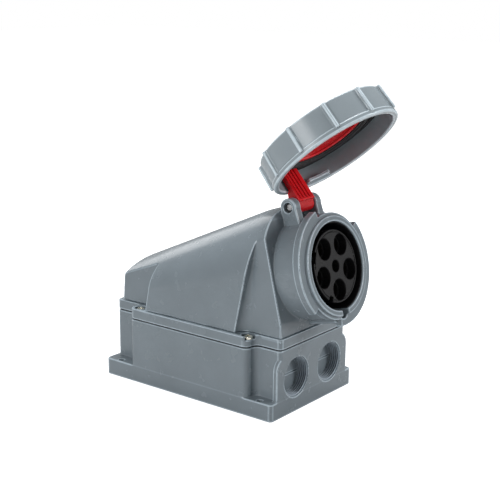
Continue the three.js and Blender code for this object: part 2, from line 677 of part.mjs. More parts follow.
function lockingRing() {
  const { front, back, outerFront, outerBack, inner, lip, lipFront } = RING;
  const groove = RETAINER.outer + 0.4;
  let ring = turned([
    [inner, front + 1], [inner, RETAINER.front - GAP], [groove, RETAINER.front - GAP],
    [groove, RETAINER.back + GAP], [inner, RETAINER.back + GAP], [inner, lipFront], [lip, lipFront],
    [lip, back - 0.6], [lip + 0.6, back], [outerBack - 1.5, back], [outerBack, back - 1.5],
    [outerFront, front + 1.5], [outerFront - 1.5, front], [inner + 1, front],
  ]);
  for (let i = 0; i < RIB.count; i += 1) {
    const rib = box(front + 4, back - 0.4, -RIB.width / 2, RIB.width / 2, inner + 1.5, outerBack + RIB.height);
    const degrees = 180 - RIB.first - i * 360 / RIB.count;
    const turn = new THREE.Matrix4().makeRotationX(degrees * Math.PI / 180);
    ring = ring.add(solid(toGeometry(rib).applyMatrix4(turn)));
  }
  for (const centre of LUG.centres) {
    ring = ring.add(ringSector(LUG.inner, inner + 1, LUG.front, LUG.back, centre, LUG.width));
  }
  return piece('locking_ring', ring, ringGrey);
}

// ---------------------------------------------------------------- assembly
function barrelGroup() {
  const group = new THREE.Group();
  group.add(contactInsert(), insertSeal(), pilotContact(), hingePin(), pinClip());
  poleAngles().forEach((degrees, index) => {
    const name = POLES.names[index];
    const bore = name === 'earth' ? SLEEVE.earthBore : SLEEVE.bore;
    group.add(contactSleeve(`contact_${name}`, degrees, bore));
    group.add(terminalScrew(`terminal_screw_${name}`, degrees));
  });
  INSERT_SCREW.at.forEach((degrees, index) => {
    group.add(insertScrew(`insert_screw_${index + 1}`, degrees));
  });
  group.applyMatrix4(barrelFrame());
  return group;
}

// The closed lid swung open about the hinge pin.
function lidGroup() {
  const parts = new THREE.Group();
  parts.add(lidPlate(), lidGasket(), ringRetainer(), lockingRing());
  const swing = new THREE.Matrix4().makeTranslation(HINGE.s, 0, HINGE.v);
  swing.multiply(new THREE.Matrix4().makeRotationY(-LID_SWING * Math.PI / 180));
  swing.multiply(new THREE.Matrix4().makeTranslation(-HINGE.s, 0, -HINGE.v - LID_DROP));
  parts.applyMatrix4(barrelFrame().multiply(swing));
  return parts;
}

function connectorBox() {
  const group = new THREE.Group();
  group.add(baseBox(), coverSeal(), coverHood());
  coverScrewPlaces().forEach(([x, y], index) => {
    group.add(coverScrew(`cover_screw_${index + 1}`, x, y));
  });
  group.add(barrelGroup(), lidGroup());
  return group;
}

export default connectorBox();
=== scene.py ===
"""The looks of a surface-mounted five-pole power connector box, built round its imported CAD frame.

Sizes are in millimetres until a mesh is made. The mouldings are described as rounded distance
fields and meshed by surface_net(), so that every edge and inner corner has a moulded radius: the
last number of a both(), either() or without() is that radius. A field is negative inside its solid.
"""
import itertools
import json
import math

import bpy
import numpy as np
from mathutils import Matrix, Vector


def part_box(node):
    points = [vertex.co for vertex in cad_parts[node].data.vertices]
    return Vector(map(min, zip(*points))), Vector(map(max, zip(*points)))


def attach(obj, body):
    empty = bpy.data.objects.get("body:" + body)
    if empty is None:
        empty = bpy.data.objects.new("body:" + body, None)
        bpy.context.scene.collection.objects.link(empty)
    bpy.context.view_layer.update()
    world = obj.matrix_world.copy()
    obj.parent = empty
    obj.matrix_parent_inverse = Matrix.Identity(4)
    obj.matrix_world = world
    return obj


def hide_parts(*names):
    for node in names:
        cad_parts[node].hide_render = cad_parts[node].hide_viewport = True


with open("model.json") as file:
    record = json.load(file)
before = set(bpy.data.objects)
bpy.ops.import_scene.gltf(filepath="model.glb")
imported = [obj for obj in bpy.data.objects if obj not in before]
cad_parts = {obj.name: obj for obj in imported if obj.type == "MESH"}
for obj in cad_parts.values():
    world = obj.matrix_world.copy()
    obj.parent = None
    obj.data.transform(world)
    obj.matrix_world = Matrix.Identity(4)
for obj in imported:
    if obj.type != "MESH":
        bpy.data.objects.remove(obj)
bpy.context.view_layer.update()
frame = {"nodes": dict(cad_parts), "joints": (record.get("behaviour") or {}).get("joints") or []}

MM = 0.001
JOINTS = {joint["name"]: joint for joint in frame["joints"]}


# ---------------------------------------------------------------- driving sizes
def node_box(node):
    """A CAD node's lowest and highest corners, in mm."""
    low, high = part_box(node)
    return [c / MM for c in low], [c / MM for c in high]


# Base and rim. A name in _X, _Y or _Z is a place or half width along that axis, _R a radius.
HALF_LENGTH, HALF_WIDTH, BASE_TOP = node_box("base_box")[1]
RIM_BOTTOM = node_box("cover_hood")[0][2]
RIM_TOP = 80.2
FOOT_TOP = 17.7
BODY_BACK = -107.5
NECK_HALF = 55.5          # half width of the body between its front recesses
BACK_NECK_HALF = 53.0     # and between its back ones
BACK_NOTCH_X = -74.3
BEND_X = 80.0             # where the S-bend into the front recess crosses over
FIXING_X, FIXING_Y, FIXING_R = 92.5, 65.0, 2.75
FRONT_SCREW_X, BACK_SCREW_X, SCREW_Y, SCREW_SINK_R = 75.5, -66.0, 62.0, 6.6
COVER_SCREWS = [(x, y) for x in (FRONT_SCREW_X, BACK_SCREW_X) for y in (-SCREW_Y, SCREW_Y)]
SCREW_SEAT = RIM_TOP - 4.0
WALL_BACK, WALL_HALF, WALL_TOP, WALL_SHOULDER = 104.0, 60.3, 61.3, 14.0
ENTRY_Y, ENTRY_Z, ENTRY_R, ENTRY_DEPTH = 28.5, 35.7, 20.2, 14.0
THREAD_TURNS, THREAD_PITCH, THREAD_HEIGHT, THREAD_INSET = 5, 2.3, 0.9, 1.6
THREAD_STEPS, THREAD_SIDES = 6, 96         # rows to a turn, and points round a row

# The barrel's frame: s runs out along its axis from the mouth, v across it and up.
TILT = math.radians(13.6)
MOUTH_X, MOUTH_Z = 136.2, 146.6
PIN_S, PIN_V = -31.2, 63.0
PIN = [c / MM for c in JOINTS["lid_hinge"]["pos_m"]]
LID_SWING = math.radians(JOINTS["lid_hinge"]["range_deg"][1])

# Hood.
HOOD_FACE_S = -39.0
HOOD_BACK, HOOD_BACK_LEAN, HOOD_LENGTH, HOOD_TOP = -101.0, 0.078, 226.0, 197.7
HOOD_HALF, HOOD_TAPER, HOOD_SPREAD = 67.0, 3.0, 2.0
RIDGE_X, RIDGE_Z, RIDGE_SLOPE = -98.0, 122.3, 0.448
ROOF_POWER, ROOF_POWER_GAIN = 2.0, 0.25
FRONT_NOTCH_Y, FRONT_NOTCH_X, FRONT_NOTCH_LEAN = 55.0, 62.3, 0.18
BACK_NOTCH_Y, BACK_WALL_X, BACK_WALL_LEAN = 52.0, -54.6, 0.12

# Barrel and hinge ears. A pair named _S or _R is where a ring starts and ends.
BORE_R, BARREL_R, LIP_R, FLANGE_R, FLANGE_CUT_R = 43.0, 51.0, 48.8, 58.6, 52.0
TUBE_S, FLANGE_S, MOUTH_LIP_S, BULGE_S = (-60.0, -6.0), (-11.0, -3.0), (-8.0, 0.0), (-50.0, -8.0)
FLANGE_CUTS = ((-17.5, 34.5), (152.0, 22.0))  # each cut's middle and half width, in degrees
BULGE_HALF, BULGE_R, KEYWAY_HALF, KEYWAY_R = 9.5, 55.0, 5.2, 51.5
BACK_BORE_R, BACK_BORE_S, BORE_END_S = 49.0, -43.2, -75.0
EAR_R, EAR_INNER, EAR_OUTER, EAR_ROOT_V, PIN_HOLE_R = 9.0, 12.8, 22.0, 46.0, 3.3
PIN_SINK_R, PIN_SINK_DEPTH = 5.0, 5.0

# Connector, hinge pin, and a dark ring of painted shade round the pin's end.
INSERT_R, INSERT_FACE_S, INSERT_BACK_S, INSERT_END_S, INSERT_FOOT_R = 35.5, -3.0, -44.5, -48.4, 47.6
POLE_PITCH, POLE_R, POLE_STEP_R = 23.2, 10.5, 8.4
PILOT_R, PILOT_STEP_R, STEP_S = 6.0, 4.5, -12.0
# Each side cut's middle and half width in degrees, inner radius and corner.
SIDE_CUTS = ((66.0, 9.5, 32.6, 0.4), (151.0, 5.0, 30.6, 0.8))
SIDE_CUT_S, GROOVE_R, GROOVE_HALF = -22.0, 33.2, 0.35
BORE_SHELL_R, BORE_SHELL_S = (42.0, 42.9), (-43.5, -1.8)
PIN_R, PIN_Y, PIN_SLOT_Y = 3.0, (-19.4, 21.4), -18.4
SHADE_RING_R, SHADE_RING_Y = (3.1, 4.8), (-18.6, -17.2)

# Lid and locking ring, in the barrel's frame while shut.
RING_S = (-17.0, 13.0)
RING_R, RING_INNER, RING_LIP, LIP_S = 68.2, 62.5, 56.0, 10.0
RIB_COUNT, RIB_FIRST, RIB_HALF, RIB_RISE = 11, 14.0, 1.8, 2.7
PANEL_MARGIN, PANEL_SINK = 2.6, 0.8
LUG_CENTRES, LUG_HALF, LUG_R, LUG_S = (149.5, -30.5), 12.5, 55.6, (-14.7, -11.5)
DISC_S, DISC_R, DOME_R, DOME_S = (4.8, 9.7), 61.8, 51.0, (6.5, 11.1)
BOSS_R, BOSS_S = (36.0, 40.6), (2.2, 7.5)
GASKET_R, GASKET_S, BEAD_R, BEAD_S = (41.5, 52.0), (1.5, 4.5), (44.0, 49.4), (0.3, 2.5)
RETAINER_R, RETAINER_S, RETAINER_GAP = (57.0, 63.2), (2.5, 4.2), 14.0
ARM_HALF, ARM_UNDER, ARM_OVER, ARM_EYE = 12.4, 54.5, 60.5, 7.3
LID_DROP = 2.0            # the shut lid's own axis lies this far below the barrel's
EYE_V = PIN_V + LID_DROP


# ---------------------------------------------------------------- distance fields
def both(a, b, r=1.0):
    """Where both solids are, its edge rounded to radius r."""
    corner = np.sqrt(np.maximum(a + r, 0) ** 2 + np.maximum(b + r, 0) ** 2)
    return np.minimum(-r, np.maximum(a, b)) + corner


def either(a, b, r=1.0):
    """Either solid, with a fillet of radius r between them."""
    corner = np.sqrt(np.maximum(r - a, 0) ** 2 + np.maximum(r - b, 0) ** 2)
    return np.maximum(r, np.minimum(a, b)) - corner


def without(a, b, r=1.0):
    """The first solid with the second cut out of it."""
    return both(a, -b, r)


def between(x, low, high):
    """A slab from low to high."""
    return np.abs(x - (low + high) / 2) - (high - low) / 2


def round_bar(x, y, radius):
    """An endless cylinder round the origin of x and y."""
    return np.sqrt(x * x + y * y) - radius


def sector(y, v, centre, half):
    """Field of a wedge round the barrel axis; degrees from the top, positive towards -Y."""
    angle = np.degrees(np.arctan2(-y, v)) - centre
    turned = np.abs((angle + 180) % 360 - 180)
    return np.radians(turned - half) * np.sqrt(y * y + v * v)


def to_barrel(x, z):
    """The object's x and z as the barrel frame's s, out along its axis, and v, up across it."""
    dx, dz = x - MOUTH_X, z - MOUTH_Z
    return dx * math.cos(TILT) + dz * math.sin(TILT), dz * math.cos(TILT) - dx * math.sin(TILT)


# ---------------------------------------------------------------- meshing
CORNERS = list(itertools.product((0, 1), repeat=3))


def line(low, high, step, fine=(), fine_step=1.0):
    """Grid coordinates from low to high, closer together inside the fine stretches."""
    places = [low]
    while places[-1] < high:
        here = places[-1]
        inside = any(a - step < here < b for a, b in fine)
        places.append(here + (fine_step if inside else step))
    return np.array(places)


def slope(field, points, step=0.05):
    """The field's gradient at each point, by central differences."""
    out = np.empty_like(points)
    for axis in range(3):
        ahead, behind = points.copy(), points.copy()
        ahead[:, axis] += step
        behind[:, axis] -= step
        out[:, axis] = (field(*ahead.T) - field(*behind.T)) / (2 * step)
    return out


def net_faces(inside, index):
    """A quad for each grid edge that crosses the surface."""
    faces = []
    for axis in range(3):
        first = np.moveaxis(inside, axis, 0)
        cells = np.moveaxis(index, axis, 0)
        if axis == 1:
            first, cells = first.swapaxes(1, 2), cells.swapaxes(1, 2)
        change = first[:-1, 1:-1, 1:-1] != first[1:, 1:-1, 1:-1]
        i, j, k = np.nonzero(change)
        ring = [cells[i, j, k], cells[i, j + 1, k], cells[i, j + 1, k + 1], cells[i, j, k + 1]]
        quad = np.stack(ring, axis=1)
        out = first[i, j + 1, k + 1]
        quad[~out] = quad[~out][:, ::-1]
        faces.append(quad)
    return np.concatenate(faces)


def crossing_cells(inside):
    """The grid cells that the surface passes through, and each one's number by its place."""
    shape = tuple(n - 1 for n in inside.shape)
    views = [inside[i:i + shape[0], j:j + shape[1], k:k + shape[2]] for i, j, k in CORNERS]
    active = np.logical_or.reduce(views) & ~np.logical_and.reduce(views)
    cells = np.argwhere(active)
    index = np.full(shape, -1, np.int64)
    index[active] = np.arange(len(cells))
    return cells, index


def middle_of_crossings(values, cells):
    """The middle of each cell's edge crossings, from 0 to 1 along each of its axes."""
    corner_values = np.stack([values[tuple((cells + c).T)] for c in CORNERS]).astype(float)
    total = np.zeros((len(cells), 3))
    count = np.zeros(len(cells))
    for a, b in itertools.combinations(range(len(CORNERS)), 2):
        ca, cb = np.array(CORNERS[a]), np.array(CORNERS[b])
        if np.abs(ca - cb).sum() != 1:
            continue
        va, vb = corner_values[a], corner_values[b]
        crosses = (va < 0) != (vb < 0)
        share = np.where(crosses, va / np.where(va == vb, 1, va - vb), 0)[:, None]
        total += np.where(crosses[:, None], ca + share * (cb - ca), 0)
        count += crosses
    return total / count[:, None]


def edge_highlight_mask(field, points, normal, reach=0.9):
    """How sharply the surface turns away at each point: 0 where flat or hollow, up to 1 on an edge. It
    masks the painted edge highlight.
    """
    bend = field(*(points + reach * normal).T) + field(*(points - reach * normal).T)
    sides = np.zeros(len(points))
    for tangent in np.eye(3):
        across = tangent - normal * normal @ tangent[:, None]
        sides += field(*(points + reach * across).T) + field(*(points - reach * across).T)
    return np.clip((sides - bend) / reach, 0, 1)


def surface_net(name, field, xs, ys, zs, place=None, relax=3):
    """The field's zero surface as a mesh object, with normals and the mask for the painted edge highlight,
    both from the field itself.
    """
    values = field(xs[:, None, None], ys[None, :, None], zs[None, None, :])
    values = np.broadcast_to(values, (len(xs), len(ys), len(zs)))
    inside = values < 0
    cells, index = crossing_cells(inside)
    local = middle_of_crossings(values, cells)
    points = np.empty_like(local)
    size = np.empty_like(local)
    for axis, grid in enumerate((xs, ys, zs)):
        low = grid[cells[:, axis]]
        size[:, axis] = grid[cells[:, axis] + 1] - low
        points[:, axis] = low + local[:, axis] * size[:, axis]
    for _ in range(relax):
        normal = slope(field, points)
        steep = np.maximum((normal ** 2).sum(axis=1), 0.05)
        move = -field(*points.T)[:, None] * normal / steep[:, None]
        points += np.clip(move, -0.5 * size, 0.5 * size)
    normal = slope(field, points)
    normal /= np.maximum(np.linalg.norm(normal, axis=1), 1e-6)[:, None]
    # Mask for the painted highlight on convex edges.
    highlight_mask = edge_highlight_mask(field, points, normal)
    if place is not None:
        matrix = np.array(place)
        points = points @ matrix[:3, :3].T + matrix[:3, 3]
        normal = normal @ matrix[:3, :3].T
    piece = smooth_piece(name, points, net_faces(inside, index), highlight_mask)
    piece.data.normals_split_custom_set_from_vertices(normal.tolist())
    return piece


def link(name, data):
    """A new scene object that holds the data."""
    obj = bpy.data.objects.new(name, data)
    bpy.context.scene.collection.objects.link(obj)
    return obj


def smooth_piece(name, points, faces, highlight_mask):
    """A smooth-shaded mesh object from points in mm, with the mask for the painted highlight that its
    material reads.
    """
    mesh = bpy.data.meshes.new(name)
    mesh.from_pydata((np.array(points) * MM).tolist(), [], np.array(faces).tolist())
    mesh.polygons.foreach_set("use_smooth", np.ones(len(faces), bool))
    attribute = mesh.attributes.new("edge_highlight_mask", "FLOAT", "POINT")
    attribute.data.foreach_set("value", np.array(highlight_mask, np.float32))
    return link(name, mesh)


def barrel_place():
    """The barrel frame (s, y, v) placed in the object's frame."""
    place = Matrix.Rotation(-TILT, 4, "Y")
    place.translation = Vector((MOUTH_X, 0, MOUTH_Z))
    return place


def open_place():
    """The closed lid's own frame swung open about the pin."""
    pin = Matrix.Translation(Vector((PIN[0], 0, PIN[2])))
    shut = barrel_place() @ Matrix.Translation(Vector((0, 0, -LID_DROP)))
    return pin @ Matrix.Rotation(-LID_SWING, 4, "Y") @ pin.inverted() @ shut


# ---------------------------------------------------------------- materials
def shader(name, color, roughness, metallic=0.0):
    """A new material, its node tree and its surface shader."""
    material = bpy.data.materials.new(name)
    material.use_nodes = True
    tree = material.node_tree
    surface = tree.nodes["Principled BSDF"]
    surface.inputs["Metallic"].default_value = metallic
    surface.inputs["Base Color"].default_value = (*color, 1)
    surface.inputs["Roughness"].default_value = roughness
    return material, tree, surface


def noise(tree, grain, detail=2.0, stretch=None):
    """Noise whose features are about one grain, in mm, across."""
    coordinates = tree.nodes.new("ShaderNodeTexCoord").outputs["Object"]
    if stretch is not None:
        mapping = tree.nodes.new("ShaderNodeMapping")
        mapping.inputs["Scale"].default_value = stretch
        tree.links.new(coordinates, mapping.inputs["Vector"])
        coordinates = mapping.outputs["Vector"]
    texture = tree.nodes.new("ShaderNodeTexNoise")
    texture.inputs["Scale"].default_value = 1 / (grain * MM)
    texture.inputs["Detail"].default_value = detail
    texture.inputs["Roughness"].default_value = 0.5
    tree.links.new(coordinates, texture.inputs["Vector"])
    return texture.outputs["Fac"]


def remap(tree, value, low, high, from_low=0.3, from_high=0.7):
    """The value's stretch from from_low to from_high, spread from low to high."""
    node = tree.nodes.new("ShaderNodeMapRange")
    node.inputs["From Min"].default_value = from_low
    node.inputs["From Max"].default_value = from_high
    node.inputs["To Min"].default_value = low
    node.inputs["To Max"].default_value = high
    tree.links.new(value, node.inputs["Value"])
    return node.outputs["Result"]


def mix_color(tree, factor, first, second):
    """A mix of two colours, each a colour or another node's output."""
    node = tree.nodes.new("ShaderNodeMix")
    node.data_type = "RGBA"
    tree.links.new(factor, node.inputs["Factor"])
    for name, value in (("A", first), ("B", second)):
        socket = next(i for i in node.inputs if i.name == name and i.type == "RGBA")
        if isinstance(value, tuple):
            socket.default_value = (*value, 1)
        else:
            tree.links.new(value, socket)
    return next(o for o in node.outputs if o.type == "RGBA")


def bump(tree, surface, layers):
    """Chains bump nodes: each layer is (height, distance in mm, strength)."""
    last = None
    for height, distance, strength in layers:
        node = tree.nodes.new("ShaderNodeBump")
        node.inputs["Distance"].default_value = distance * MM
        node.inputs["Strength"].default_value = strength
        tree.links.new(height, node.inputs["Height"])
        if last is not None:
            tree.links.new(last, node.inputs["Normal"])
        last = node.outputs["Normal"]
    tree.links.new(last, surface.inputs["Normal"])


def scaled(color, factor):
    return tuple(min(c * factor, 1.0) for c in color)


def moulded(name, color, roughness, gloss=0.45, edge_highlight_gain=2.4, grain=0.1, grain_size=1.6):
    """Moulded plastic: faint flow clouding, a fine spark-eroded grain, and a painted highlight along
    convex edges, in patches.
    """
    material, tree, surface = shader(name, color, roughness)
    surface.inputs["Specular IOR Level"].default_value = gloss
    cloud = noise(tree, 38, detail=3.0)
    tint = mix_color(tree, remap(tree, cloud, 0, 1), scaled(color, 0.94), scaled(color, 1.07))
    fine = noise(tree, grain_size)
    speck = mix_color(tree, remap(tree, fine, 0, 0.4), tint, scaled(color, 0.95))
    # Painted highlight: the colour is lightened along convex edges, in patches.
    attribute = tree.nodes.new("ShaderNodeAttribute")
    attribute.attribute_name = "edge_highlight_mask"
    patch = noise(tree, 6, detail=3.0)
    edge_highlight = tree.nodes.new("ShaderNodeMath")
    edge_highlight.operation = "MULTIPLY"
    tree.links.new(remap(tree, attribute.outputs["Fac"], 0, 0.9, 0.08, 0.50), edge_highlight.inputs[0])
    tree.links.new(remap(tree, patch, 0.7, 1.0), edge_highlight.inputs[1])
    highlighted_color = mix_color(tree, edge_highlight.outputs["Value"], speck, scaled(color, edge_highlight_gain))
    tree.links.new(highlighted_color, surface.inputs["Base Color"])
    smear = noise(tree, 14, detail=4.0)
    tree.links.new(remap(tree, smear, roughness - 0.03, roughness + 0.05), surface.inputs["Roughness"])
    wave = noise(tree, 30, detail=0.0)
    bump(tree, surface, [(wave, 0.15, 0.2), (fine, 0.02, grain)])
    return material


def rubber(name, color):
    """Matt black rubber with a little dust on it."""
    material, tree, surface = shader(name, color, 0.7)
    fine = noise(tree, 0.5, detail=3.0)
    dust = noise(tree, 9, detail=4.0)
    dusty = mix_color(tree, remap(tree, dust, 0, 1), color, scaled(color, 2.2))
    tree.links.new(dusty, surface.inputs["Base Color"])
    tree.links.new(remap(tree, fine, 0.62, 0.82), surface.inputs["Roughness"])
    bump(tree, surface, [(fine, 0.05, 0.5)])
    return material


def turned_metal(name, color, roughness, tint):
    """Plated or machined metal: brushed streaks, stains and a second tint in patches."""
    material, tree, surface = shader(name, color, roughness, metallic=1.0)
    stain = noise(tree, 3, detail=4.0)
    tree.links.new(mix_color(tree, remap(tree, stain, 0, 1), color, tint), surface.inputs["Base Color"])
    streak = noise(tree, 0.9, stretch=(1, 1, 9))
    tree.links.new(remap(tree, streak, roughness - 0.08, roughness + 0.12), surface.inputs["Roughness"])
    bump(tree, surface, [(streak, 0.03, 0.4)])
    return material


def mould_speckle(name, color, spot):
    """Black glass-filled plastic with the pale specks that it shows close up."""
    material, tree, surface = shader(name, color, 0.55)
    surface.inputs["Specular IOR Level"].default_value = 0.25
    cells = tree.nodes.new("ShaderNodeTexVoronoi")
    cells.inputs["Scale"].default_value = 1 / (1.1 * MM)
    tree.links.new(tree.nodes.new("ShaderNodeTexCoord").outputs["Object"], cells.inputs["Vector"])
    fine = noise(tree, 0.8, detail=3.0)
    dots = remap(tree, cells.outputs["Distance"], 1, 0, 0.08, 0.3)
    tree.links.new(mix_color(tree, dots, color, spot), surface.inputs["Base Color"])
    tree.links.new(remap(tree, fine, 0.45, 0.68), surface.inputs["Roughness"])
    bump(tree, surface, [(fine, 0.08, 0.6)])
    return material


HOUSING = moulded("housing_plastic", (0.165, 0.197, 0.220), 0.24)
RING = moulded("ring_plastic", (0.240, 0.280, 0.305), 0.22)
RED = moulded("lid_plastic", (0.500, 0.008, 0.012), 0.26, gloss=0.3, edge_highlight_gain=1.5)
# The threads' near-black colour is painted shade in the grooves and deep in the entry; a large edge gain
# paints a highlight on each crest.
THREAD_PAINTED_LIGHT = moulded("thread_painted_shade_and_highlight", (0.016, 0.019, 0.022), 0.30, edge_highlight_gain=24.0)
INSERT = mould_speckle("insert_plastic", (0.003, 0.003, 0.004), (0.018, 0.018, 0.019))
SEAL = rubber("seal_rubber", (0.008, 0.008, 0.009))
ZINC = turned_metal("zinc_plate", (0.93, 0.91, 0.84), 0.16, (0.84, 0.79, 0.62))
STEEL = turned_metal("bright_steel", (0.55, 0.56, 0.57), 0.30, (0.42, 0.42, 0.43))
BRASS = turned_metal("machined_brass", (0.50, 0.38, 0.17), 0.30, (0.60, 0.50, 0.28))


# ---------------------------------------------------------------- pieces: base
def body_plan(x, y, corner=4.5):
    """Field of the body's plan: a long neck with two wide flanks, joined by S-bends."""
    ay = np.abs(y)
    neck_half = np.where(x > 0, NECK_HALF, BACK_NECK_HALF)
    neck = both(both(ay - neck_half, BODY_BACK - x, 2.0), x - HALF_LENGTH, corner)
    flank = both(both(ay - HALF_WIDTH, BACK_NOTCH_X - x, 5.0), x - BEND_X, 7.2)
    return either(neck, flank, 6.5)


def entry_wall(x, y, z):
    """The wider front wall: square-shouldered, with its top corners rounded off."""
    ay = np.abs(y)
    side = both(ay - WALL_HALF, z - WALL_TOP, WALL_SHOULDER)
    return both(both(side, WALL_BACK - x, 1.2), x - HALF_LENGTH, 1.2)


def base_field(x, y, z):
    """The base: a foot plate under the body, with the two blind entries and four fixing holes."""
    ay = np.abs(y)
    plan = both(np.abs(x) - HALF_LENGTH, ay - HALF_WIDTH, 4.0)
    outer = both(both(plan, z - BASE_TOP, 0.5), -z, 1.0)
    raised = np.minimum(body_plan(x, y), entry_wall(x, y, z))
    foot = either(raised, z - FOOT_TOP, 1.4)
    body = both(outer, foot, 0.7)
    for side in (-1, 1):
        entry = round_bar(y - side * ENTRY_Y, z - ENTRY_Z, ENTRY_R)
        body = without(body, both(entry, HALF_LENGTH - ENTRY_DEPTH - x, 0.4), 0.7)
    holes = round_bar(np.abs(x) - FIXING_X, ay - FIXING_Y, FIXING_R)
    return without(body, holes, 0.6)


def base_moulding():
    fine_from = 66.0
    ends = [(-HALF_LENGTH - 2, -fine_from), (fine_from, HALF_LENGTH + 2)]
    xs = line(-HALF_LENGTH - 2, HALF_LENGTH + 2, 3.0, ends, 0.75)
    ys = line(-HALF_WIDTH - 2, HALF_WIDTH + 2, 0.85)
    zs = line(-2, BASE_TOP + 2, 0.85)
    return surface_net("base_moulding", base_field, xs, ys, zs)


def knockout_field(x, y, z):
    """The thin wall left in an entry, with a score line across it."""
    disc = both(round_bar(y, z, ENTRY_R - 0.3), between(x, -1.0, 1.0), 0.4)
    score = both(np.abs(z) - 0.7, -0.2 - x, 0.1)
    ring = np.abs(round_bar(y, z, ENTRY_R - 2.2)) - 0.5
    disc = without(disc, both(ring, 0.2 - x, 0.1), 0.2)
    return without(disc, score, 0.2)


def knockout(name, side):
    place = Matrix.Translation(Vector((HALF_LENGTH - ENTRY_DEPTH + 0.9, side * ENTRY_Y, ENTRY_Z)))
    grid = line(-ENTRY_R - 1, ENTRY_R + 1, 0.45)
    return surface_net(name, knockout_field, line(-2, 2, 0.3), grid, grid, place)


def entry_thread(name, side):
    """A closed ring of thread, coarse enough to show, that lines one entry, with a painted highlight on
    its crests and painted shade in its grooves.
    """
    steps = THREAD_TURNS * THREAD_STEPS
    start = HALF_LENGTH - THREAD_INSET - THREAD_TURNS * THREAD_PITCH
    points, crest_highlight = [], []

    def add_point(step, sector_index, radius, height):
        angle = 2 * math.pi * sector_index / THREAD_SIDES
        x = start + THREAD_PITCH * step / THREAD_STEPS
        points.append((x, radius * math.cos(angle) + side * ENTRY_Y, radius * math.sin(angle) + ENTRY_Z))
        crest_highlight.append(height)

    for i in range(steps + 1):
        for j in range(THREAD_SIDES):
            wave = math.cos(2 * math.pi * (i / THREAD_STEPS - j / THREAD_SIDES))
            # The crest value, 1 on a crest and 0 in a groove, places the painted highlight.
            add_point(i, j, ENTRY_R - 1.0 - THREAD_HEIGHT * wave, 0.5 + 0.5 * wave)
    for end in (steps, 0):
        for j in range(THREAD_SIDES):
            add_point(end, j, ENTRY_R + 0.4, 0.5)
    rows = steps + 3
    faces = []
    for i in range(rows):
        here, ahead = i * THREAD_SIDES, (i + 1) % rows * THREAD_SIDES
        for j in range(THREAD_SIDES):
            after = (j + 1) % THREAD_SIDES
            faces.append((here + j, here + after, ahead + after, ahead + j))
    return smooth_piece(name, points, faces, crest_highlight)


# ---------------------------------------------------------------- pieces: cover
def arch_field(x, y, z):
    """The hood's ruled arch: straight flanks under an elliptical roof that grows squarer forwards."""
    axis = MOUTH_Z + (x - MOUTH_X) * math.tan(TILT)
    ridge = RIDGE_Z + RIDGE_SLOPE * (x - RIDGE_X)
    along = np.clip((x - HOOD_BACK) / HOOD_LENGTH, 0, 1)
    half = HOOD_HALF - HOOD_TAPER * along
    tall = np.maximum(ridge - axis, 5.0)
    rise = np.maximum(z - axis, 0)
    power = ROOF_POWER + ROOF_POWER_GAIN * along
    across, up = np.abs(y) / half, rise / tall
    k = np.maximum(across ** power + up ** power, 1e-6) ** (1 / power)
    steep = np.sqrt((across ** (power - 1) / half) ** 2 + (up ** (power - 1) / tall) ** 2)
    roof = (k - 1) * k ** (power - 1) / np.maximum(steep, 1e-4)
    drop = np.clip((axis - z) / np.maximum(axis - RIM_TOP, 1.0), 0, 1.0)
    flank = np.abs(y) - (half + HOOD_SPREAD * drop)
    return np.where(z > axis, roof, flank)


def front_notch(x, y, z):
    """The recess over a front screw: its back wall leans forward as its hollow corner tightens."""
    wall = FRONT_NOTCH_X + FRONT_NOTCH_LEAN * (z - RIM_TOP)
    corner = np.clip(FRONT_SCREW_X - wall, 1.5, 13.0)
    return both(FRONT_NOTCH_Y - np.abs(y), wall - x, corner)


def hood_field(x, y, z, s):
    """The arch cut off at its leaning back, its face and its top, with a notch over each screw."""
    up = z - RIM_TOP
    hood = both(arch_field(x, y, z), (HOOD_BACK + HOOD_BACK_LEAN * up) - x, 3.0)
    hood = both(hood, s - HOOD_FACE_S, 1.2)
    hood = both(hood, z - HOOD_TOP, 8.0)
    back_notch = both(BACK_NOTCH_Y - np.abs(y), x - (BACK_WALL_X + BACK_WALL_LEAN * up), 2.5)
    hood = without(hood, back_notch, 1.0)
    hood = without(hood, front_notch(x, y, z), 0.9)
    return both(both(hood, x - HALF_LENGTH + 0.8, 0.8), -4.0 - up, 0.5)


def rim_field(x, y, z):
    """The cover's rim, with a sink for each cover screw."""
    rim = both(body_plan(x, y), between(z, RIM_BOTTOM, RIM_TOP), 0.9)
    for px, py in COVER_SCREWS:
        sink = both(round_bar(x - px, y - py, SCREW_SINK_R), SCREW_SEAT - z, 0.2)
        rim = without(rim, sink, 0.5)
    return rim


def ear_field(s, y, v):
    """Both hinge ears: an eye on a web that widens down to the barrel."""
    ay = np.abs(y)
    eye = round_bar(s - PIN_S, v - PIN_V, EAR_R)
    web = both(np.abs(s - PIN_S) - (EAR_R - 0.5) - 0.12 * (PIN_V - v), v - PIN_V, 0.5)
    plate = np.minimum(eye, both(web, EAR_ROOT_V - v, 0.5))
    return both(plate, between(ay, EAR_INNER, EAR_OUTER), 1.0)


def barrel_field(s, y, v):
    """The barrel's outside: tube, bayonet flange with its two gaps, lip, and bulge over the keyway."""
    r = np.sqrt(y * y + v * v)
    tube = both(r - BARREL_R, between(s, *TUBE_S), 0.5)
    flange = both(r - FLANGE_R, between(s, *FLANGE_S), 0.7)
    for centre, half in FLANGE_CUTS:
        flange = without(flange, both(sector(y, v, centre, half), FLANGE_CUT_R - r, 0.6), 0.5)
    lip = both(r - LIP_R, between(s, *MOUTH_LIP_S), 0.8)
    bulge = both(both(np.abs(y) - BULGE_HALF, -BULGE_R - v, 4.0), between(s, *BULGE_S), 0.8)
    bulge = both(bulge, v, 1.0)
    barrel = either(either(tube, bulge, 2.0), flange, 0.8)
    return either(barrel, lip, 0.5)


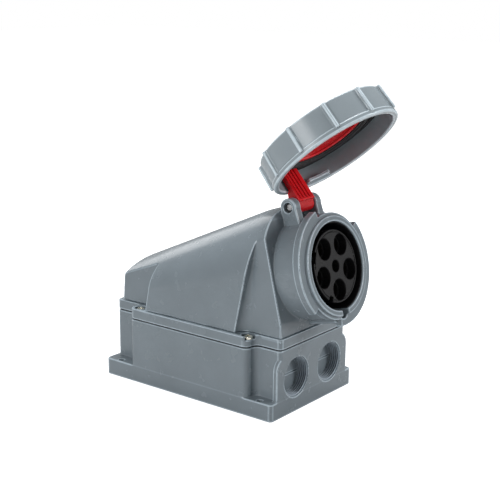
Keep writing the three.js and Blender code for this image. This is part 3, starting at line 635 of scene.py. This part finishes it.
def bore_field(s, y, v):
    """What is cut out of the barrel: the bore, its wider back end and the keyway at its foot."""
    r = np.sqrt(y * y + v * v)
    bore = np.minimum(r - BORE_R, both(r - BACK_BORE_R, s - BACK_BORE_S, 0.5))
    keyway = both(np.abs(y) - KEYWAY_HALF, -KEYWAY_R - v, 4.5)
    keyway = both(keyway, both(v + 30.0, -37.0 - s, 0.5), 0.5)
    return np.maximum(either(bore, keyway, 0.8), BORE_END_S - s)


def between_ears_field(s, y, v):
    """The clear space that the lid's arm turns in."""
    return both(
        both(np.abs(y) - EAR_INNER, s - (PIN_S + 12.0), 0.5),
        both(52.4 - v, (PIN_S - 8.6) - s, 3.0),
        0.5,
    )


def cover_field(x, y, z):
    """The whole cover: rim and hood with a scored seam between them, barrel and ears."""
    s, v = to_barrel(x, z)
    hood = hood_field(x, y, z, s)
    rim = rim_field(x, y, z)
    seam = np.sqrt(np.maximum(hood, 0) ** 2 + (z - RIM_TOP - 0.2) ** 2) - 0.5
    cover = np.maximum(either(rim, hood, 0.3), -seam)
    cover = either(cover, barrel_field(s, y, v), 1.0)
    cover = either(cover, ear_field(s, y, v), 1.2)
    sinks = both(round_bar(s - PIN_S, v - PIN_V, PIN_SINK_R), EAR_OUTER - PIN_SINK_DEPTH - np.abs(y), 0.2)
    through = np.minimum(sinks, round_bar(s - PIN_S, v - PIN_V, PIN_HOLE_R))
    cover = without(cover, through, 0.5)
    cover = without(cover, between_ears_field(s, y, v), 0.8)
    return without(cover, bore_field(s, y, v), 1.0)


def cover_moulding():
    fine_x = [(-110.0, -96.0), (-60.0, -44.0), (62.0, 152.0)]
    xs = line(-110.0, 152.0, 2.0, fine_x, 0.72)
    ys = line(-72.0, 72.0, 0.8)
    zs = line(67.0, 214.0, 0.8)
    return surface_net("cover_moulding", cover_field, xs, ys, zs)


def screw_field(x, y, z):
    """A raised cross-recess screw head on a short shank."""
    arm_length, arm_half = 2.6, 0.65
    rising, falling = np.abs(x + y) * 0.707, np.abs(x - y) * 0.707
    dome = 1.9 - 0.045 * (x * x + y * y)
    head = both(both(round_bar(x, y, 4.4), z - dome, 0.4), -1.4 - z, 0.3)
    shank = both(round_bar(x, y, 2.0), between(z, -4.0, 0.0), 0.2)
    screw = either(head, shank, 0.2)
    floor = 0.2 + 0.22 * np.sqrt(x * x + y * y)
    wide = both(rising - arm_half, falling - arm_length, 0.1)
    tall = both(falling - arm_half, rising - arm_length, 0.1)
    return without(screw, both(np.minimum(wide, tall), floor - z, 0.1), 0.15)


def cover_screw(index, x, y):
    step = 0.22
    grid = line(-5.0, 5.0, step)
    up = line(-4.6, 2.4, step)
    place = Matrix.Translation(Vector((x, y, SCREW_SEAT + 1.5))) @ Matrix.Rotation(0.5 * index, 4, "Z")
    return surface_net(f"cover_screw_head_{index}", screw_field, grid, grid, up, place)


# ---------------------------------------------------------------- pieces: connector
def pole_centres():
    """(y, v) of the five poles, the earth lowest."""
    turns = [math.radians(180 - 72 * index) for index in range(5)]
    return [(-POLE_PITCH * math.sin(a), POLE_PITCH * math.cos(a)) for a in turns]


def stepped_hole(s, y, v, wide, narrow):
    """A hole through the insert that narrows at its step."""
    return np.minimum(both(round_bar(y, v, wide), STEP_S - s, 0.3), round_bar(y, v, narrow))


def insert_field(s, y, v):
    """The round insert on its foot, with stepped holes, two cuts in its side and a face groove."""
    r = np.sqrt(y * y + v * v)
    body = both(r - INSERT_R, s - INSERT_FACE_S, 0.7)
    body = either(body, both(r - INSERT_FOOT_R, s - INSERT_BACK_S, 0.5), 0.5)
    body = both(body, INSERT_END_S - s, 0.4)
    for py, pv in pole_centres():
        body = without(body, stepped_hole(s, y - py, v - pv, POLE_R, POLE_STEP_R), 0.6)
    body = without(body, stepped_hole(s, y, v, PILOT_R, PILOT_STEP_R), 0.6)
    flat, slot = (
        both(sector(y, v, middle, half), inner - r, corner)
        for middle, half, inner, corner in SIDE_CUTS
    )
    body = without(body, both(np.minimum(flat, slot), SIDE_CUT_S - s, 0.4), 0.5)
    groove = both(np.abs(r - GROOVE_R) - GROOVE_HALF, INSERT_FACE_S - 0.5 - s, 0.1)
    return without(body, groove, 0.15)


def insert_moulding():
    ss = line(-50.0, -1.0, 1.5, [(-50.0, -42.0), (-14.0, -1.0)], 0.5)
    across = line(-49.0, 49.0, 0.6)
    return surface_net("insert_moulding", insert_field, ss, across, across, barrel_place())


def bore_shell_field(s, y, v):
    """A thin black shell over the bore's wall behind its lip, open at the keyway, that makes the bore's
    inside black.
    """
    r = np.sqrt(y * y + v * v)
    sleeve = both(between(r, *BORE_SHELL_R), between(s, *BORE_SHELL_S), 0.2)
    return without(sleeve, both(np.abs(y) - 5.0, v, 0.3), 0.2)


def bore_shell_piece():
    ss = line(-44.5, -0.8, 2.0, [(-44.5, -42.0), (-3.0, -0.8)], 0.3)
    across = line(-44.0, 44.0, 0.5)
    return surface_net("black_bore_shell", bore_shell_field, ss, across, across, barrel_place())


def pin_field(s, y, v):
    """The hinge pin with its slotted end."""
    shank = both(round_bar(s, v, PIN_R), between(y, *PIN_Y), 0.4)
    return without(shank, both(np.abs(v * 0.94 + s * 0.34) - 0.6, y - PIN_SLOT_Y, 0.1), 0.15)


def pin_place():
    """The pin's own frame, its axis along y, placed in the object's frame."""
    return barrel_place() @ Matrix.Translation(Vector((PIN_S, 0, PIN_V)))


def pin_piece():
    across = line(-5.4, 5.4, 0.25)
    along = line(-22.5, 22.5, 1.5, [(-22.5, -18.0), (17.0, 22.5)], 0.25)
    return surface_net("hinge_pin_slotted", pin_field, across, along, across, pin_place())


def pin_shade_ring_field(s, y, v):
    """A dark ring round the pin's slotted end: painted shade at the bottom of its sink."""
    return both(between(np.sqrt(s * s + v * v), *SHADE_RING_R), between(y, *SHADE_RING_Y), 0.2)


def pin_shade_ring_piece():
    across = line(-5.4, 5.4, 0.3)
    return surface_net("hinge_pin_shade_ring", pin_shade_ring_field, across, line(-19.2, -16.6, 0.25), across, pin_place())


# ---------------------------------------------------------------- pieces: lid
def ring_field(s, y, v):
    """The locking ring: sunk panels between ribs outside, a lip and two bayonet lugs inside."""
    r = np.sqrt(y * y + v * v)
    skin = RING_R - 0.05 * (s - RING_S[0])
    ring = both(r - skin, between(s, *RING_S), 1.7)
    angle = np.degrees(np.arctan2(-y, v)) - 180.0 + RIB_FIRST
    pitch = 360.0 / RIB_COUNT
    near = np.abs((angle + pitch / 2) % pitch - pitch / 2)
    aside = np.radians(near) * r
    panel = both(skin - PANEL_SINK - r, PANEL_MARGIN - aside, 0.5)
    panel = both(panel, between(s, RING_S[0] + 5.5, RING_S[1] + 5.0), 0.5)
    ring = without(ring, panel, 0.5)
    rib = both(aside - RIB_HALF, r - skin - RIB_RISE, 1.5)
    rib = both(rib, between(s, RING_S[0] + 3.5, RING_S[1] - 0.2), 0.8)
    rib = both(rib, RING_INNER + 1.5 - r, 0.3)
    ring = either(ring, rib, 0.8)
    hollow = both(r - RING_INNER, s - LIP_S, 1.2)
    ring = without(ring, np.minimum(hollow, r - RING_LIP), 1.2)
    for centre in LUG_CENTRES:
        lug = both(both(LUG_R - r, r - RING_INNER - 1.5, 0.5), between(s, *LUG_S), 0.7)
        ring = either(ring, both(lug, sector(y, v, centre, LUG_HALF), 1.0), 0.8)
    return ring


def ring_moulding():
    across = line(-72.0, 72.0, 0.75)
    along = line(-19.6, 14.5, 0.55)
    return surface_net("ring_moulding", ring_field, along, across, across, open_place())


def arm_field(s, y, v):
    """The hinge arm: a ridged strap under the ring that rises to an eye round the pin."""
    strap = both(between(v, ARM_UNDER, ARM_OVER), both(PIN_S + 6.0 - s, s - DISC_S[1], 2.0), 1.5)
    riser = both(round_bar(s - PIN_S - 6.5, v - ARM_UNDER - 1, 10.5), ARM_UNDER - v, 1.0)
    riser = both(riser, PIN_S - s, 0.5)
    eye = round_bar(s - PIN_S, v - EYE_V, ARM_EYE)
    body = either(np.minimum(strap, riser), eye, 2.0)
    pitch = 2 * ARM_HALF / 5
    across = np.abs((y + pitch / 2) % pitch - pitch / 2)
    groove = np.clip(1.2 - across, 0, 0.7) / 0.7 * (np.abs(y) < ARM_HALF - 2)
    low_side = np.clip((ARM_UNDER + 3.5 - v) / 2.0, 0, 1)
    low_side = low_side * np.clip((s - PIN_S - 2.0) / 2.0, 0, 1)
    return both(body + 2.2 * groove * low_side, np.abs(y) - ARM_HALF, 1.2)


def plate_field(s, y, v):
    """The red plate: a disc with a shallow dome outside, a ring boss inside, and the arm."""
    r = np.sqrt(y * y + v * v)
    plate = both(r - DISC_R, between(s, *DISC_S), 0.6)
    dome = both(r - DOME_R, between(s, *DOME_S), 1.2)
    boss = both(both(r - BOSS_R[1], BOSS_R[0] - r, 1.0), between(s, *BOSS_S), 0.7)
    plate = either(either(plate, dome, 1.5), boss, 0.8)
    plate = either(plate, arm_field(s, y, v), 1.5)
    return without(plate, round_bar(s - PIN_S, v - EYE_V, PIN_HOLE_R), 0.5)


def plate_moulding():
    ys = line(-64.0, 64.0, 1.0, [(-14.0, 14.0)], 0.4)
    vs = line(-64.0, 74.5, 0.8, [(52.0, 59.0)], 0.4)
    ss = line(-40.5, 13.0, 0.7)
    return surface_net("lid_plate_moulding", plate_field, ss, ys, vs, open_place())


def gasket_field(s, y, v):
    """The lid's seal: a flat ring with a bead that meets the barrel's lip."""
    r = np.sqrt(y * y + v * v)
    flat = both(between(r, *GASKET_R), between(s, *GASKET_S), 0.4)
    bead = both(between(r, *BEAD_R), between(s, *BEAD_S), 0.7)
    return either(flat, bead, 0.6)


def gasket_piece():
    across = line(-54.0, 54.0, 0.8)
    return surface_net("gasket_ring", gasket_field, line(-0.6, 5.4, 0.35), across, across, open_place())


def retainer_field(s, y, v):
    """The split ring that holds the locking ring on the plate."""
    r = np.sqrt(y * y + v * v)
    ring = both(between(r, *RETAINER_R), between(s, *RETAINER_S), 0.4)
    return without(ring, both(np.abs(y) - RETAINER_GAP, -v, 0.5), 0.4)


def retainer_piece():
    across = line(-65.0, 65.0, 0.9)
    along = line(1.7, 5.1, 0.35)
    return surface_net("retainer_ring", retainer_field, along, across, across, open_place())


# ---------------------------------------------------------------- assembly
def add(piece, material, body, slot, *nodes):
    """Gives a piece its material and its body, and hides the CAD nodes that it stands for."""
    piece.data.materials.append(material)
    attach(piece, body)
    if nodes:
        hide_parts(*nodes)


def dress(nodes, material):
    """A better material on CAD nodes that stay."""
    for name in nodes:
        node = frame["nodes"][name]
        node.data.materials.clear()
        node.data.materials.append(material)


def build_pieces():
    add(base_moulding(), HOUSING, "housing", "housing", "base_box")
    for name, side in (("near", -1), ("far", 1)):
        add(knockout(f"knockout_{name}", side), HOUSING, "housing", "housing")
        add(entry_thread(f"entry_thread_{name}", side), THREAD_PAINTED_LIGHT, "housing", "housing")
    add(cover_moulding(), HOUSING, "housing", "housing", "cover_hood")
    for index, (x, y) in enumerate(COVER_SCREWS, start=1):
        add(cover_screw(index, x, y), ZINC, "housing", "zinc", f"cover_screw_{index}")
    add(insert_moulding(), INSERT, "housing", "insert", "contact_insert")
    add(bore_shell_piece(), INSERT, "housing", "insert")
    add(pin_piece(), STEEL, "housing", "steel", "hinge_pin")
    # Painted shade: a dark ring round the pin's end, in the black rubber.
    add(pin_shade_ring_piece(), SEAL, "housing", "seal")
    add(plate_moulding(), RED, "lid", "lid", "lid_plate")
    add(gasket_piece(), SEAL, "lid", "seal", "lid_gasket")
    add(retainer_piece(), SEAL, "lid", "seal", "ring_retainer")
    add(ring_moulding(), RING, "locking_ring", "ring", "locking_ring")
    names = frame["nodes"].keys()
    dress([n for n in names if n.endswith("seal")], SEAL)
    dress([n for n in names if n.startswith(("contact_", "pilot_")) and n != "contact_insert"], BRASS)
    dress([n for n in names if n.startswith(("terminal_", "insert_screw", "pin_clip"))], STEEL)


# ---------------------------------------------------------------- stage
SOFTBOXES = {                 # place, target and size in metres, power in watts
    "key": ((-0.3, -1.6, 0.9), (0, 0, 0.1), (0.7, 0.7), 10),
    "top": ((-0.2, 0.3, 1.6), (0, 0, 0.1), (0.8, 0.8), 22),
    "roof": ((-1.5, 0.7, 0.75), (0, 0, 0.15), (0.7, 0.7), 3),
    "strip": ((0.1, -1.7, 0.35), (0.05, 0, 0.1), (0.2, 0.9), 8),
    "edge": ((1.4, 0.8, 0.7), (0.1, 0, 0.15), (0.5, 0.7), 15),
}


def seen_only(tree, seen, lit, socket):
    """Feeds one strength to camera rays and another to all light."""
    path = tree.nodes.new("ShaderNodeLightPath")
    tree.links.new(remap(tree, path.outputs["Is Camera Ray"], lit, seen, 0, 1), socket)


def floor(half=6.0):
    """A plain pale floor; half is its half width in metres."""
    mesh = bpy.data.meshes.new("floor")
    corners = [(-half, -half, 0), (half, -half, 0), (half, half, 0), (-half, half, 0)]
    mesh.from_pydata(corners, [], [(0, 1, 2, 3)])
    material, tree, surface = shader("floor_white", (0.55, 0.55, 0.55), 0.9)
    surface.inputs["Specular IOR Level"].default_value = 0.0
    surface.inputs["Emission Color"].default_value = (1, 1, 1, 1)
    seen_only(tree, 0.9, 0.05, surface.inputs["Emission Strength"])
    mesh.materials.append(material)
    link("floor", mesh)


def area_light(name, place, target, size, power):
    """A softbox, size wide and tall in metres, that faces its target; power is in watts."""
    data = bpy.data.lights.new(name, "AREA")
    data.shape = "RECTANGLE"
    data.size, data.size_y = size
    data.energy = power
    turn = (Vector(target) - Vector(place)).to_track_quat("-Z", "Y").to_matrix().to_4x4()
    link(name, data).matrix_world = Matrix.Translation(Vector(place)) @ turn


def studio():
    """A white surround that lights softly, and five softboxes."""
    world = bpy.data.worlds.new("studio")
    world.use_nodes = True
    background = world.node_tree.nodes["Background"]
    background.inputs["Color"].default_value = (1, 1, 1, 1)
    seen_only(world.node_tree, 1.0, 0.32, background.inputs["Strength"])
    bpy.context.scene.world = world
    for name, setting in SOFTBOXES.items():
        area_light(name, *setting)


def camera():
    """The view from the near front corner, a little above the box and turned by a slight roll."""
    azimuth, elevation, roll = (math.radians(a) for a in (37.71, 13.97, 0.52))
    target, distance = Vector((-0.1802, 0.2703, 0.060)), 1.4702
    level = math.cos(elevation)
    back = Vector((math.sin(azimuth) * level, -math.cos(azimuth) * level, math.sin(elevation)))
    right = Vector((math.cos(azimuth), math.sin(azimuth), 0))
    up = back.cross(right)
    tilted_right = right * math.cos(roll) + up * math.sin(roll)
    tilted_up = up * math.cos(roll) - right * math.sin(roll)
    data = bpy.data.cameras.new("camera")
    data.lens = 79.06
    data.sensor_width = 36.0
    obj = link("camera", data)
    turn = Matrix((tilted_right, tilted_up, back)).transposed().to_4x4()
    obj.matrix_world = Matrix.Translation(target + back * distance) @ turn
    bpy.context.scene.camera = obj


camera()
studio()
floor()
build_pieces()
bpy.context.scene.view_settings.view_transform = "Standard"
bpy.context.view_layer.update()
